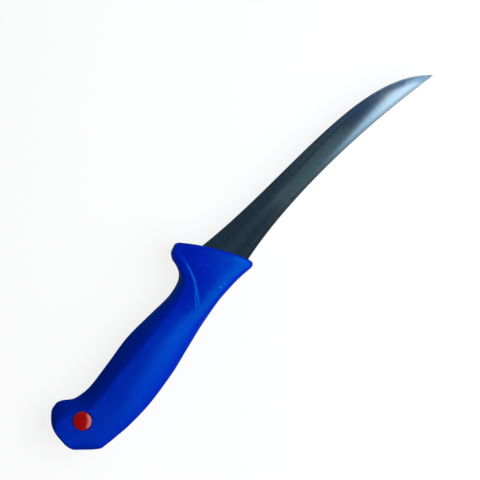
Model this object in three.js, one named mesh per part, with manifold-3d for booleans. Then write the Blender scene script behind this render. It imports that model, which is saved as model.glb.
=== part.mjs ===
// A curved boning knife with a moulded handle, in millimetres.
// The knife lies on its side: +X runs along the tang's centreline towards the point, +Y towards the
// cutting edge, which is also the finger side of the handle, and +Z up through the thickness.
// It has five pieces: a steel blade with its tang, a hard core moulded round the tang, a cover moulded
// round the core, and a two-piece plug that closes the hole in the butt.
import * as THREE from 'three';
import { mergeVertices } from 'three/addons/utils/BufferGeometryUtils.js';
import Module from 'manifold-3d';

const wasm = await Module();
wasm.setup();

const { clamp, degToRad, lerp } = THREE.MathUtils;

// Clearances
const MOULD_GAP = 0.3; // between a moulding and the piece that it is moulded round
const PLUG_GAP = 0.2; // round the plug in its holes, and between its two halves

// Blade outline: spine and edge are one cubic curve each, from the heel line at x = 0 to the point.
// Each end of a curve has a handle, with its length and its slope in degrees.
const BLADE_REACH = 148.3; // heel line to point
const TIP_SWEEP = 18.7; // how far the point lies behind the tang's centreline
const HEEL_BACK = 10; // heel line: centreline to spine
const HEEL_EDGE = 13.6; // heel line: centreline to edge
const SPINE_AT_HEEL = { pull: 40.6, slope: 9.8 };
const SPINE_AT_TIP = { pull: 49, slope: -12.6 };
const EDGE_AT_HEEL = { pull: 60.8, slope: -9.1 };
const EDGE_AT_TIP = { pull: 39.5, slope: -52.1 };

// Blade section
const STOCK = 2; // thickness of the steel strip, which the tang keeps
const TIP_STOCK = 0.9; // thickness of the spine at the point
const EDGE_STOCK = 0.5; // thickness just behind the sharpened bevel
const BEVEL_WIDTH = 1.1;
const FLANK_CROWN = 0.06; // how far each flank swells between spine and bevel
const SPINE_IN_GUARD = 3; // how far the spine runs on behind the heel line, inside the guard
const EDGE_IN_GUARD = 12; // the same for the edge

// Tang
const KEY_HOLES = 3; // the core runs through these and locks on the tang
const KEY_HOLE_RADIUS = 3;
const FIRST_KEY_HOLE = 32; // heel line to the first key hole
const KEY_HOLE_PITCH = 27;
const TANG_WALL = 2; // steel beside each hole
const TANG_ROOT = 3; // heel line to the tang's root
const TANG_ROOT_WIDTH = 14;
const TANG_NECK = 17; // root to where the tang has its long width

// Plug in the butt
const PLUG_HEAD_RADIUS = 5.15;
const PLUG_RIM = 0.9; // height of the head's rim, which sits in the cover
const PLUG_DOME = 0.7; // how far the head's dome stands above its rim
const PLUG_SHANK_RADIUS = 3.3;
const PLUG_SPIGOT = 4.5; // the front half's spigot snaps into the rear half's socket
const PLUG_SPIGOT_RADIUS = 1.7;

// Handle mouldings
const COVER_WALL = 3; // thickness of the cover outside the core
const CORE_GROOVE = 0.8; // depth of the grooves round the core that lock the cover on it
const THINNEST_ROUND = 1; // least width of a rounded shoulder inside the cover
const FRONT_BOW = 2; // how far the guard's front bulges forward between its ends
const FRONT_ROUND = 2; // rounding of the guard's front edge
const BUTT_ROUND = 2.4; // rounding of the butt's edge
const GUARD_LIP = 3.2; // how far the guard stands behind the blade's spine
const GUARD_HOOK = 12.8; // how far the guard's hook reaches past the blade's edge
const REST_HALF = 10.8; // half the thickness at the guard and the swell, on which the knife lies
const PANEL_DROP = 0.4; // how far the guard's side panel lies below the grip's surface
const PANEL_RUN_OUT = 0.6; // how far outside the outline the panel's floor runs, so that its step fades

// Handle sections from the guard to the butt. Each lies in an upright plane from a point on the back
// outline to a point on the finger outline.
// backStep and fingerStep: distance behind the section before, or behind the heel line for the first
// backReach and fingerReach: distance of the two outlines from the tang's centreline
// half: half the thickness
// backRound and fingerRound: widths of the rounded shoulders beside the flat middle
// power: form of the finger shoulder, where 2 is an ellipse and less meets the flat in a crease
const SECTIONS = {
  guardFront: {
    backStep: -7.2, backReach: HEEL_BACK + GUARD_LIP, backRound: 5,
    fingerStep: 12.6, fingerReach: HEEL_EDGE + GUARD_HOOK, fingerRound: 4.5, power: 2.2,
    half: REST_HALF,
  },
  guardHook: {
    backStep: 7.2, backReach: 12.7, backRound: 6,
    fingerStep: 6.8, fingerReach: 24.2, fingerRound: 5, power: 2.2,
    half: REST_HALF,
  },
  hookRoot: {
    backStep: 8, backReach: 12, backRound: 7.5,
    fingerStep: 3.2, fingerReach: 16.2, fingerRound: 6, power: 2.1,
    half: 10.3,
  },
  fingerRest: {
    backStep: 10, backReach: 11.85, backRound: 9,
    fingerStep: 4.9, fingerReach: 11.5, fingerRound: 7, power: 2,
    half: 9.4,
  },
  neck: {
    backStep: 17, backReach: 13.5, backRound: 11,
    fingerStep: 10.5, fingerReach: 9.75, fingerRound: 7.3, power: 1.9,
    half: 8.8,
  },
  grip: {
    backStep: 17, backReach: 16.4, backRound: 14,
    fingerStep: 14, fingerReach: 10.75, fingerRound: 8.6, power: 1.6,
    half: 9.7,
  },
  swell: {
    backStep: 16, backReach: 19.2, backRound: 16.5,
    fingerStep: 15, fingerReach: 11.8, fingerRound: 10.2, power: 1.45,
    half: REST_HALF,
  },
  palm: {
    backStep: 22, backReach: 20.95, backRound: 18,
    fingerStep: 19, fingerReach: 10.4, fingerRound: 9.5, power: 1.45,
    half: REST_HALF,
  },
  waist: {
    backStep: 14, backReach: 20.4, backRound: 15,
    fingerStep: 16, fingerReach: 9.25, fingerRound: 8, power: 1.6,
    half: 10.3,
  },
  buttNeck: {
    backStep: 9, backReach: 19.2, backRound: 12,
    fingerStep: 10, fingerReach: 11.1, fingerRound: 7.2, power: 1.9,
    half: 10,
  },
  plugLine: {
    backStep: 7, backReach: 18.1, backRound: 10,
    fingerStep: 6.2, fingerReach: 15.4, fingerRound: 6, power: 2.1,
    half: 9.8,
  },
  buttHook: {
    backStep: 3.2, backReach: 17.6, backRound: 9,
    fingerStep: 3, fingerReach: 17.1, fingerRound: 5.5, power: 2.2,
    half: 9.7,
  },
  buttCorner: {
    backStep: 3, backReach: 15.7, backRound: 8,
    fingerStep: 3.4, fingerReach: 16.8, fingerRound: 5, power: 2.2,
    half: 9.6,
  },
  buttChamfer: {
    backStep: 5.3, backReach: 9.8, backRound: 7,
    fingerStep: 5.4, fingerReach: 13, fingerRound: 5, power: 2.2,
    half: 9.4,
  },
  buttEnd: {
    backStep: 4, backReach: 5.3, backRound: 6.5,
    fingerStep: 4.1, fingerReach: 8.7, fingerRound: 5, power: 2.2,
    half: 9.3,
  },
};

// The step round the guard's side panel, from beyond the hook's corner to beyond the back outline
const PANEL_EDGE = [
  [-12.5, 34],
  [-15.9, 22],
  [-18.9, 11.5],
  [-23.2, 3.2],
  [-28.8, -3.7],
  [-37, -12.2],
  [-48, -22],
];

// Facets
const BLADE_STEPS = 40;
const BLADE_TIP_AT = 0.985; // share of the curves after which the blade closes in one point
const STEPS_PER_SECTION = 3;
const COVER_STEPS = { back: 7, flat: 4, finger: 6 };
const CORE_STEPS = { back: 4, flat: 2, finger: 3 };
const FLOOR_SECTIONS = 7; // how many sections back from the guard the panel's floor is made
const ROUND_STEPS = 3;
const DOME_STEPS = 6;
const ARC_STEPS = 10;
const TURN_STEPS = 40;
const BISECTIONS = 40; // for finding a place along the handle

const steel = new THREE.MeshStandardMaterial({ color: 0x5d6a76, roughness: 0.3, metalness: 1 });
const corePlastic = new THREE.MeshStandardMaterial({ color: 0xd5d8d2, roughness: 0.6, metalness: 0 });
const bluePlastic = new THREE.MeshStandardMaterial({ color: 0x0630ae, roughness: 0.42, metalness: 0 });
const redPlastic = new THREE.MeshStandardMaterial({ color: 0xa80d10, roughness: 0.25, metalness: 0 });

// Solids: three.js geometry to a closed solid, and back to a named mesh
function solidOf(geometry) {
  const bare = new THREE.BufferGeometry();
  bare.setAttribute('position', geometry.getAttribute('position'));
  if (geometry.index) bare.setIndex(geometry.index);
  const merged = mergeVertices(bare);
  return new wasm.Manifold(
    new wasm.Mesh({
      numProp: 3,
      vertProperties: merged.getAttribute('position').array,
      triVerts: new Uint32Array(merged.index.array),
    }),
  );
}

// The moulding itself, without any sliver that the blade's heel would cut off beside its spine
function largestOf(solid) {
  return solid.decompose().reduce((best, body) => (body.volume() > best.volume() ? body : best));
}

function pieceOf(name, solid, material) {
  const { vertProperties, triVerts } = solid.getMesh();
  const geometry = new THREE.BufferGeometry();
  geometry.setAttribute('position', new THREE.BufferAttribute(vertProperties, 3));
  geometry.setIndex(new THREE.BufferAttribute(triVerts, 1));
  const piece = new THREE.Mesh(geometry, material);
  piece.name = name;
  return piece;
}

// Joins rings of points into a closed skin, whose ends are closed by fans from the two given points
function loft(rings, startPoint, endPoint) {
  const count = rings[0].length;
  const points = [...rings.flat(), startPoint, endPoint];
  const [startFan, endFan] = [points.length - 2, points.length - 1];
  const lastRing = (rings.length - 1) * count;
  const triangles = [];
  for (let i = 0; i < count; i++) {
    const next = (i + 1) % count;
    triangles.push(startFan, next, i, endFan, lastRing + i, lastRing + next);
    for (let ring = 0; ring < lastRing; ring += count) {
      const [a, b, c, d] = [ring + i, ring + next, ring + count + next, ring + count + i];
      triangles.push(a, b, c, a, c, d);
    }
  }
  return new THREE.BufferGeometry().setFromPoints(points).setIndex(triangles);
}

// An outline in the plane of the knife made into a plate about that plane
function plate(outline, thickness) {
  const options = { depth: thickness, bevelEnabled: false, curveSegments: ARC_STEPS };
  return solidOf(new THREE.ExtrudeGeometry(outline, options).translate(0, 0, -thickness / 2));
}

function disc(x, radius, thickness) {
  return plate(new THREE.Shape().absarc(x, 0, radius, 0, 2 * Math.PI), thickness);
}

// A profile of [radius, z] points turned about an upright axis on the tang's centreline
function turned(x, profile) {
  const points = profile.map(([radius, z]) => new THREE.Vector2(radius, z));
  return solidOf(new THREE.LatheGeometry(points, TURN_STEPS).rotateX(Math.PI / 2).translate(x, 0, 0));
}

// Blade
function curveHandle({ pull, slope }) {
  return new THREE.Vector2(pull, 0).rotateAround(new THREE.Vector2(), degToRad(slope));
}

function bladeCurve(heelY, atHeel, atTip) {
  const heel = new THREE.Vector2(0, heelY);
  const tip = new THREE.Vector2(BLADE_REACH, -TIP_SWEEP);
  const heelHandle = heel.clone().add(curveHandle(atHeel));
  const tipHandle = tip.clone().sub(curveHandle(atTip));
  return new THREE.CubicBezierCurve(heel, heelHandle, tipHandle, tip);
}

const spineCurve = bladeCurve(-HEEL_BACK, SPINE_AT_HEEL, SPINE_AT_TIP);
const edgeCurve = bladeCurve(HEEL_EDGE, EDGE_AT_HEEL, EDGE_AT_TIP);

// One section of the blade, grown outwards for the hole that it leaves in a moulding. share runs from 0 at
// the heel's end inside the guard, where the curves run on behind the heel line, to 1 at the point.
function bladeRing(share, grow) {
  const behind = (inGuard, { pull }) => -(inGuard + grow) / (3 * pull);
  const spine = spineCurve.getPoint(lerp(behind(SPINE_IN_GUARD, SPINE_AT_HEEL), 1, share));
  const across = edgeCurve.getPoint(lerp(behind(EDGE_IN_GUARD, EDGE_AT_HEEL), 1, share)).sub(spine);
  const width = across.length();
  across.normalize();
  const spineHalf = lerp(STOCK, TIP_STOCK, share) / 2;
  const bevel = Math.min(BEVEL_WIDTH, width / 3);
  const bevelHalf = Math.min(EDGE_STOCK, spineHalf) / 2;
  const crownHalf = (spineHalf + bevelHalf) / 2 + FLANK_CROWN;
  const point = (distance, height) => {
    const place = spine.clone().addScaledVector(across, distance);
    return new THREE.Vector3(place.x, place.y, height);
  };
  const flank = [
    [-grow, spineHalf + grow],
    [(width - bevel) / 2, crownHalf + grow],
    [width - bevel, bevelHalf + grow],
  ];
  const lower = flank.map(([distance, half]) => point(distance, -half));
  const upper = flank.map(([distance, half]) => point(distance, half)).reverse();
  return [...lower, point(width + grow, 0), ...upper];
}

function bladeLoft(grow) {
  const rings = [];
  for (let i = 0; i <= BLADE_STEPS; i++) rings.push(bladeRing((BLADE_TIP_AT * i) / BLADE_STEPS, grow));
  const heelEnd = rings[0].reduce((sum, p) => sum.add(p), new THREE.Vector3()).divideScalar(rings[0].length);
  return solidOf(loft(rings, heelEnd, new THREE.Vector3(BLADE_REACH, -TIP_SWEEP, 0)));
}

// Handle: where each section's two ends lie, and a curve through one size of every section that never
// overshoots its neighbours
const stations = [];
for (const section of Object.values(SECTIONS)) {
  const before = stations.at(-1) ?? { backX: 0, fingerX: 0 };
  const backX = before.backX - section.backStep;
  const fingerX = before.fingerX - section.fingerStep;
  stations.push({ ...section, backX, fingerX });
}
const LAST = stations.length - 1;

function sizeAt(key, u) {
  const values = stations.map((station) => station[key]);
  const rises = values.slice(1).map((value, i) => value - values[i]);
  const slope = (i) => {
    const before = rises[i - 1] ?? rises[i];
    const after = rises[i] ?? rises[i - 1];
    return before * after <= 0 ? 0 : (2 * before * after) / (before + after);
  };
  const i = clamp(Math.floor(u), 0, LAST - 1);
  const t = u - i;
  const s = t - 1;
  const fromValues = values[i] * (1 + 2 * t) * s * s + values[i + 1] * t * t * (3 - 2 * t);
  return fromValues + slope(i) * t * s * s + slope(i + 1) * t * t * s;
}

// One section of the handle, drawn in from both outlines by sideInset and from both faces by faceInset.
// place gives the point at a distance from the back outline and at a height.
function handleSection(u, sideInset, faceInset) {
  const back = new THREE.Vector2(sizeAt('backX', u), -sizeAt('backReach', u));
  const across = new THREE.Vector2(sizeAt('fingerX', u), sizeAt('fingerReach', u)).sub(back);
  const width = across.length();
  across.normalize();
  const forward = new THREE.Vector2(across.y, -across.x);
  const bow = FRONT_BOW * Math.max(1 - u, 0);
  const place = (distance, height) => {
    const bulge = (4 * bow * distance * (width - distance)) / width ** 2;
    const point = back.clone().addScaledVector(across, distance).addScaledVector(forward, bulge);
    return new THREE.Vector3(point.x, point.y, height);
  };
  return { place, from: sideInset, to: width - sideInset, half: sizeAt('half', u) - faceInset };
}

function handleRing(u, sideInset, faceInset, steps) {
  const { place, from, to, half } = handleSection(u, sideInset, faceInset);
  const shoulder = (end, width, power, count) => {
    const points = [];
    for (let i = 0; i < count; i++) {
      const angle = ((Math.PI / 2) * i) / count;
      const inset = width * (1 - Math.cos(angle) ** (2 / power));
      points.push(place(end + inset, half * Math.sin(angle) ** (2 / power)));
    }
    return points;
  };
  const backWidth = Math.max(sizeAt('backRound', u) - sideInset, THINNEST_ROUND);
  const fingerWidth = Math.max(sizeAt('fingerRound', u) - sideInset, THINNEST_ROUND);
  const flat = [];
  for (let i = 0; i <= steps.flat; i++) {
    flat.push(place(lerp(from + backWidth, to - fingerWidth, i / steps.flat), half));
  }
  const ellipse = 2;
  const backShoulder = shoulder(from, backWidth, ellipse, steps.back);
  const fingerShoulder = shoulder(to, -fingerWidth, sizeAt('power', u), steps.finger).reverse();
  const upper = [...backShoulder, ...flat, ...fingerShoulder];
  const lower = upper.slice(1, -1).reverse().map((p) => new THREE.Vector3(p.x, p.y, -p.z));
  return [...upper, ...lower];
}

function handleLoft(rings, firstU, lastU) {
  const middle = ({ place, from, to }) => place((from + to) / 2, 0);
  return solidOf(loft(rings, middle(handleSection(firstU, 0, 0)), middle(handleSection(lastU, 0, 0))));
}

// The section at a distance along the handle, measured at the middle of each section from the guard's
// front or, if negative, from the butt
const middleX = (u) => (sizeAt('backX', u) + sizeAt('fingerX', u)) / 2;

function sectionAt(distance) {
  const x = middleX(distance < 0 ? LAST : 0) - distance;
  let [before, after] = [0, LAST];
  for (let i = 0; i < BISECTIONS; i++) {
    const u = (before + after) / 2;
    if (middleX(u) > x) before = u;
    else after = u;
  }
  return before;
}

function outerLoft() {
  const rings = [];
  const roundedRing = (i, radius, sectionOf) => {
    const angle = ((Math.PI / 2) * i) / ROUND_STEPS;
    const inset = radius * (1 - Math.sin(angle));
    return handleRing(sectionOf(radius * (1 - Math.cos(angle))), inset, inset, COVER_STEPS);
  };
  for (let i = 0; i < ROUND_STEPS; i++) rings.push(roundedRing(i, FRONT_ROUND, sectionAt));
  const steps = LAST * STEPS_PER_SECTION;
  for (let i = 0; i <= steps; i++) {
    rings.push(handleRing(lerp(sectionAt(FRONT_ROUND), sectionAt(-BUTT_ROUND), i / steps), 0, 0, COVER_STEPS));
  }
  const fromButt = (depth) => (depth > 0 ? sectionAt(-depth) : LAST);
  for (let i = ROUND_STEPS - 1; i >= 0; i--) rings.push(roundedRing(i, BUTT_ROUND, fromButt));
  return handleLoft(rings, 0, LAST);
}

// The core, or grown outwards the space that it leaves in the cover: grooved round every other ring
function coreLoft(grow) {
  const wall = COVER_WALL + MOULD_GAP;
  const from = (reach) => sectionAt(wall - reach);
  const to = (reach) => sectionAt(reach - wall);
  const steps = 2 * LAST;
  const rings = [];
  for (let i = 0; i <= steps; i++) {
    const u = lerp(from(i === 0 ? grow : 0), to(i === steps ? grow : 0), i / steps);
    const inset = wall - grow + (i % 2 ? CORE_GROOVE : 0);
    rings.push(handleRing(u, inset, inset, CORE_STEPS));
  }
  return handleLoft(rings, from(grow), to(grow));
}

// What is cut off both faces of the cover to sink the guard's side panel
function panelCut() {
  const beyond = BLADE_REACH;
  const edge = new THREE.SplineCurve(PANEL_EDGE.map(([x, y]) => new THREE.Vector2(x, y)));
  const region = new THREE.Shape([
    ...edge.getPoints(ARC_STEPS * PANEL_EDGE.length),
    new THREE.Vector2(beyond, PANEL_EDGE.at(-1)[1]),
    new THREE.Vector2(beyond, PANEL_EDGE[0][1]),
  ]);
  const floorRings = [];
  for (let i = -STEPS_PER_SECTION; i <= FLOOR_SECTIONS * STEPS_PER_SECTION; i++) {
    floorRings.push(handleRing(i / STEPS_PER_SECTION, -PANEL_RUN_OUT, PANEL_DROP, COVER_STEPS));
  }
  return plate(region, beyond).subtract(handleLoft(floorRings, -1, FLOOR_SECTIONS));
}

// Tang: a strip of the blade's full thickness with key holes, and an eye round the plug
const plugStation = stations[Object.keys(SECTIONS).indexOf('plugLine')];
const plugX = (plugStation.backX + plugStation.fingerX) / 2;
const plugHole = PLUG_SHANK_RADIUS + PLUG_GAP;

function tangPlate(grow) {
  const thickness = STOCK + 2 * grow;
  const half = KEY_HOLE_RADIUS + TANG_WALL + grow;
  const rootHalf = TANG_ROOT_WIDTH / 2 + grow;
  const outline = new THREE.Shape([
    new THREE.Vector2(-TANG_ROOT, -rootHalf),
    new THREE.Vector2(-TANG_ROOT, rootHalf),
    new THREE.Vector2(-TANG_ROOT - TANG_NECK, half),
    new THREE.Vector2(plugX, half),
    new THREE.Vector2(plugX, -half),
    new THREE.Vector2(-TANG_ROOT - TANG_NECK, -half),
  ]);
  let tang = plate(outline, thickness).add(disc(plugX, plugHole + TANG_WALL + grow, thickness));
  tang = tang.subtract(disc(plugX, plugHole - grow, 2 * thickness));
  for (let i = 0; i < KEY_HOLES; i++) {
    tang = tang.subtract(disc(-FIRST_KEY_HOLE - i * KEY_HOLE_PITCH, KEY_HOLE_RADIUS - grow, 2 * thickness));
  }
  return tang;
}

function bladeSolid(grow) {
  return bladeLoft(grow).add(tangPlate(grow));
}

// Plug: two halves turned about the plug's axis, whose heads sit in the cover
const plugSeat = plugStation.half - PLUG_RIM;

function plugBore() {
  const head = PLUG_HEAD_RADIUS + PLUG_GAP;
  const seat = plugSeat - PLUG_GAP;
  const beyond = plugSeat + PLUG_HEAD_RADIUS;
  return turned(plugX, [
    [0, -beyond],
    [head, -beyond],
    [head, -seat],
    [plugHole, -seat],
    [plugHole, seat],
    [head, seat],
    [head, beyond],
    [0, beyond],
  ]);
}

// A plug head from its shank up to the top of its dome, which is part of a sphere
function plugHead() {
  const domeTop = plugStation.half + PLUG_DOME;
  const sphere = (PLUG_HEAD_RADIUS ** 2 + PLUG_DOME ** 2) / (2 * PLUG_DOME);
  const dome = [];
  for (let i = 0; i <= DOME_STEPS; i++) {
    const radius = PLUG_HEAD_RADIUS * (1 - i / DOME_STEPS);
    dome.push([radius, domeTop - sphere + Math.sqrt(sphere ** 2 - radius ** 2)]);
  }
  return [[PLUG_SHANK_RADIUS, plugSeat], [PLUG_HEAD_RADIUS, plugSeat], ...dome];
}

function frontPlug() {
  return turned(plugX, [
    [0, -PLUG_SPIGOT],
    [PLUG_SPIGOT_RADIUS, -PLUG_SPIGOT],
    [PLUG_SPIGOT_RADIUS, PLUG_GAP / 2],
    [PLUG_SHANK_RADIUS, PLUG_GAP / 2],
    ...plugHead(),
  ]);
}

function rearPlug() {
  const socket = PLUG_SPIGOT_RADIUS + PLUG_GAP;
  const socketEnd = PLUG_SPIGOT + PLUG_GAP;
  const halfTurn = 180;
  return turned(plugX, [
    [0, socketEnd],
    [socket, socketEnd],
    [socket, PLUG_GAP / 2],
    [PLUG_SHANK_RADIUS, PLUG_GAP / 2],
    ...plugHead(),
  ]).rotate([halfTurn, 0, 0]);
}

// The knife put together
const bladeHole = bladeSolid(MOULD_GAP);
const bore = plugBore();
const coreSpace = coreLoft(MOULD_GAP);
const cover = outerLoft().subtract(panelCut()).subtract(coreSpace).subtract(bladeHole).subtract(bore);
const core = largestOf(coreLoft(0).subtract(bladeHole).subtract(bore));

const knife = new THREE.Group();
knife.add(
  pieceOf('blade', bladeSolid(0), steel),
  pieceOf('handle_core', core, corePlastic),
  pieceOf('handle_cover', cover, bluePlastic),
  pieceOf('plug_front', frontPlug(), redPlastic),
  pieceOf('plug_rear', rearPlug(), redPlastic),
);

// The part's origin is on the surface that the knife lies on, under the middle of its box
const box = new THREE.Box3().setFromObject(knife);
const middle = box.getCenter(new THREE.Vector3());
knife.position.set(-middle.x, -middle.y, -box.min.z);

const part = new THREE.Group();
part.add(knife);

export default part;
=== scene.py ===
import math

import bmesh
import bpy
import numpy as np
from mathutils import Matrix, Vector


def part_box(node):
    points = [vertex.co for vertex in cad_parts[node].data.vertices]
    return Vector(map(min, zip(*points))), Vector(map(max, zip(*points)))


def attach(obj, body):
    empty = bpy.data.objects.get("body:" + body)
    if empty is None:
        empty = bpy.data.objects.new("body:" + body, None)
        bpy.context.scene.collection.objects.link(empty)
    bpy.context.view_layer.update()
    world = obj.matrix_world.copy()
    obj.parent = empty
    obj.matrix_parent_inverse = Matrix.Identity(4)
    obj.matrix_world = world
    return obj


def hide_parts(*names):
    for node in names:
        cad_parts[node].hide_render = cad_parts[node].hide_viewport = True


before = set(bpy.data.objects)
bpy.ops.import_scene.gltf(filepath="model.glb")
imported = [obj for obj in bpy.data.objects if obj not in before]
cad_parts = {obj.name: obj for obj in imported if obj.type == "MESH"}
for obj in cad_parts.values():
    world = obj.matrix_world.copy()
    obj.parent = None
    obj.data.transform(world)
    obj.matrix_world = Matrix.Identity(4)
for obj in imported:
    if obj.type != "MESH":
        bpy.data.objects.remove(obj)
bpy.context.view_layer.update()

# Blade: a strip of stainless steel, stamped with its tang in one piece, ground thin towards the edge by
# wheels that run across it, and honed to a fine bevel. The handle is moulded round the tang.
MILLIMETRE = 0.001
BLADE_REACH = 148.3  # heel line to point
TIP_SWEEP = 18.7  # how far the point lies behind the tang's centreline
HEEL_BACK = 10.4
HEEL_EDGE = 13.6
SPINE_AT_HEEL = (40.7, 10.4)  # length and slope in degrees of the curve's handle
SPINE_AT_TIP = (49.0, -12.6)
EDGE_AT_HEEL = (60.8, -9.1)
EDGE_AT_TIP = (39.5, -52.1)
STOCK = 2.0
TIP_STOCK = 0.9
EDGE_STOCK = 0.3
BEVEL_WIDTH = 0.6
FLANK_CROWN = 0.12  # how far each flank swells between spine and bevel
SPINE_ROUND = 0.22  # rounding of the spine's two corners
EDGE_LAND = 0.03  # half the width of the honed edge itself
POINT_TAPER = 5.0  # width of blade under which the stock thins out towards the point
BEVEL_LIMIT = 3  # up to the point, the blade is at least this many bevels wide
EDGE_LIMIT = 0.7  # the bevel's shoulder is at most this share of the spine's thickness
ROUND_LIMIT = 0.5  # and the spine's rounding this share of half that thickness
ROUND_CUT = 0.3  # share of the rounding by which its middle point is cut back
CROWN_LIMIT = 0.012  # the flank swells at most by this share of the blade's width
FLANK_POINTS = 27
BLADE_RINGS = 230
LAST_RING = 0.9995  # share of the blade just short of the point
RING_CROWDING = 1.25  # above 1, the rings lie closer together towards the point
SPINE_IN_GUARD = 3.0
EDGE_IN_GUARD = 12.0
KEY_HOLES = (-32.0, -59.0, -86.0)
KEY_HOLE_RADIUS = 3.0
TANG_HALF = 5.0
TANG_ROOT = -3.0
TANG_ROOT_HALF = 7.0
TANG_NECK_END = -20.0
PLUG_X = -119.1
PLUG_HOLE = 3.5
EYE_WALL = 2.0  # steel round the plug's hole
BLADE_CREASE = 6  # degrees
MIDLINE_POINTS = 1200
LEAST_WIDTH = 0.01  # avoids a division by nothing at the point
FINE_GRIND = 4200.0  # grind lines in a metre
COARSE_GRIND = 850.0
GRIND_STRETCH = 0.03  # across the blade, the grind changes this much more slowly
STEEL = (0.42, 0.51, 0.58, 1.0)
# worn steel, which also serves as a painted highlight on the blade
STEEL_WORN_AND_HIGHLIGHT = (0.80, 0.86, 0.90, 1.0)
# painted shade along the spine and on the line between two grinds
STEEL_PAINTED_SHADE = (0.07, 0.075, 0.08, 1.0)

# Ranges over which the steel's finish, its painted highlight and its painted shade change, in metres along
# the blade from its end inside the guard, or from its spine or edge. Each is given from the least change to
# the most.
# painted highlight down the middle of the blade, fading out towards the point
MIDDLE_HIGHLIGHT_RUN = (0.06, 0.035)
LINE_STARTS = (0.055, 0.075)
LINE_STOPS = (0.122, 0.1)
FINER_POLISH = (0.085, 0.11)
HONED_RUN = (0.11, 0.14)
HONED_BAND = (0.0008, 0.0004)
# painted shade along the spine: the band's width, then where it fades near the point
SPINE_SHADE_BAND = (0.0026, 0.0)
SPINE_SHADE_RUN = (0.158, 0.14)

# The coarse grind's strength fades along the blade, and the line between two grinds nears the edge.
COARSE_RUN = (0.05, 0.1)
COARSE_STRENGTH = (0.35, 0.1)
LINE_RUN = (0.0595, 0.1075)
LINE_PLACE = (0.29, 0.58)  # share of the way from the middle to the edge

# Bright pits in the steel: x, y, half the length, half the width, and turn in degrees
BLADE_PITS = (
    (18.7, 7.3, 0.5, 0.4, 0.0),
    (83.5, 0.7, 0.6, 0.45, 30.0),
    (71.4, -2.4, 0.45, 0.35, 60.0),
    (9.3, -4.3, 0.45, 0.35, 10.0),
    (99.9, -0.5, 0.7, 0.4, 20.0),
)

blade_low, blade_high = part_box("blade")
heel_on_centreline = np.array(
    [
        blade_high.x - BLADE_REACH * MILLIMETRE,
        blade_low.y + TIP_SWEEP * MILLIMETRE,
        (blade_low.z + blade_high.z) / 2,
    ]
)


def new_piece(name, points, faces):
    """A mesh object from points in millimetres about the heel line on the tang's centreline."""
    mesh = bpy.data.meshes.new(name)
    mesh.from_pydata((heel_on_centreline + np.asarray(points) * MILLIMETRE).tolist(), [], faces)
    shape = bmesh.new()
    shape.from_mesh(mesh)
    bmesh.ops.recalc_face_normals(shape, faces=shape.faces)
    shape.to_mesh(mesh)
    shape.free()
    piece = bpy.data.objects.new(name, mesh)
    bpy.context.scene.collection.objects.link(piece)
    return piece


def skin_faces(ring_count, point_count):
    """Quads between neighbouring rings of a closed skin."""
    faces = []
    for ring in range(ring_count - 1):
        start = ring * point_count
        for i in range(point_count):
            j = (i + 1) % point_count
            faces.append((start + i, start + j, start + point_count + j, start + point_count + i))
    return faces


def combine(piece, tool, operation):
    """Joins tool to the piece, or cuts it out of the piece, and removes it."""
    modifier = piece.modifiers.new("combine", "BOOLEAN")
    modifier.object = tool
    modifier.operation = operation
    modifier.solver = "EXACT"
    graph = bpy.context.evaluated_depsgraph_get()
    mesh = bpy.data.meshes.new_from_object(piece.evaluated_get(graph))
    piece.modifiers.clear()
    spent = [piece.data, tool.data]
    piece.data = mesh
    bpy.data.objects.remove(tool)
    for old in spent:
        bpy.data.meshes.remove(old)
    mesh.name = piece.name


def finish_shape(piece, crease_angle):
    """Smooth shading, with a crease where two faces meet more sharply than the angle in degrees."""
    piece.data.shade_smooth()
    piece.data.set_sharp_from_angle(angle=math.radians(crease_angle))


def bezier(corners, t):
    """Points of a cubic curve in the plane of the knife, which runs on straight past its ends."""
    t = np.asarray(t)[..., None]
    s = 1 - t
    a, b, c, d = corners
    return s**3 * a + 3 * s * s * t * b + 3 * s * t * t * c + t**3 * d


def blade_corners(heel_y, at_heel, at_tip):
    """The corners of a cubic curve from the heel to the point."""

    def curve_handle(length, slope):
        return length * np.array([math.cos(math.radians(slope)), math.sin(math.radians(slope))])

    heel = np.array([0.0, heel_y])
    tip = np.array([BLADE_REACH, -TIP_SWEEP])
    return heel, heel + curve_handle(*at_heel), tip - curve_handle(*at_tip), tip


spine_corners = blade_corners(-HEEL_BACK, SPINE_AT_HEEL, SPINE_AT_TIP)
edge_corners = blade_corners(HEEL_EDGE, EDGE_AT_HEEL, EDGE_AT_TIP)


def blade_edges(share):
    """Spine and edge points at a share of the blade, from its end inside the guard to the point."""
    spine_from = -SPINE_IN_GUARD / (3 * SPINE_AT_HEEL[0])
    edge_from = -EDGE_IN_GUARD / (3 * EDGE_AT_HEEL[0])
    spine = bezier(spine_corners, spine_from + (1 - spine_from) * share)
    edge = bezier(edge_corners, edge_from + (1 - edge_from) * share)
    return spine, edge


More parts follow.
